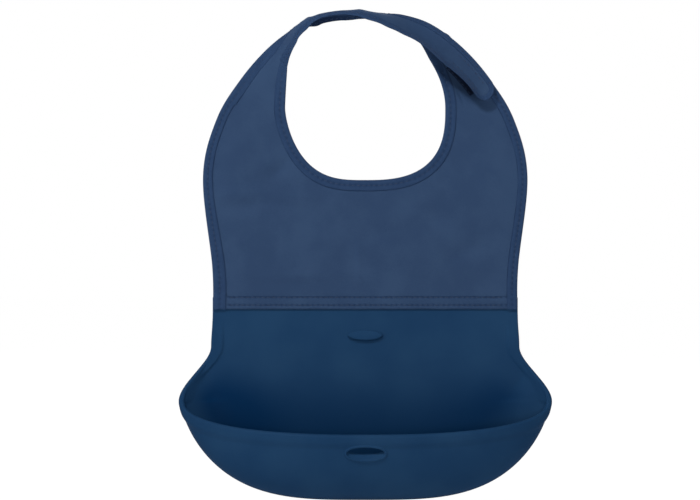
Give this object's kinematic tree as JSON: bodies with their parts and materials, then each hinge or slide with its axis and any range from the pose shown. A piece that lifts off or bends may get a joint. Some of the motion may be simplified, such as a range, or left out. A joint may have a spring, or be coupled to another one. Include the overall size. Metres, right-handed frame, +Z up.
{
  "type": "baby bib",
  "caption": "Baby bib with a coated cloth yoke, a hook-and-loop neck strap and a moulded silicone pocket that catches food.",
  "frame": {"origin": "middle of the neck opening, at mid-thickness of the cloth", "axes": "+Z up as worn, -Y out of the front, +X to the side where the strap closes"},
  "size_m": [0.2404, 0.0489, 0.316],
  "materials": {
    "silicone": "matte silicone",
    "cloth": "matte coated cloth",
    "binding": "matte folded cloth strip",
    "thread": "twisted polyester thread",
    "hook": "field of nylon hooks",
    "loop": "brushed loop pile"
  },
  "bodies": {
    "yoke": {"yoke_panel": "cloth", "neck_binding": "binding", "left_edge_binding": "binding", "right_edge_binding": "binding", "loop_tape": "loop", "neck_stitching": "thread", "left_edge_stitching": "thread", "right_edge_stitching": "thread", "loop_tape_stitching": "thread"},
    "strap": {"neck_strap": "cloth", "strap_binding": "binding", "strap_stitching": "thread", "hook_tape": "hook", "hook_tape_stitching": "thread"},
    "pocket": {"silicone_pocket": "silicone", "bottom_hem": "cloth", "hem_end_bindings": "binding", "hem_top_stitching": "thread", "hem_seam_stitching": "thread"}
  },
  "joints": [
    {"name": "strap_swing", "type": "hinge", "parent": "yoke", "child": "strap", "pos_m": [-0.0568, -0.0013, 0.0277], "axis": [0, 0, -1], "range_deg": [0, 120]},
    {"name": "seam_fold", "type": "hinge", "parent": "yoke", "child": "pocket", "pos_m": [0, -0.0013, -0.1276], "axis": [-1, 0, 0], "range_deg": [-20, 140]}
  ]
}
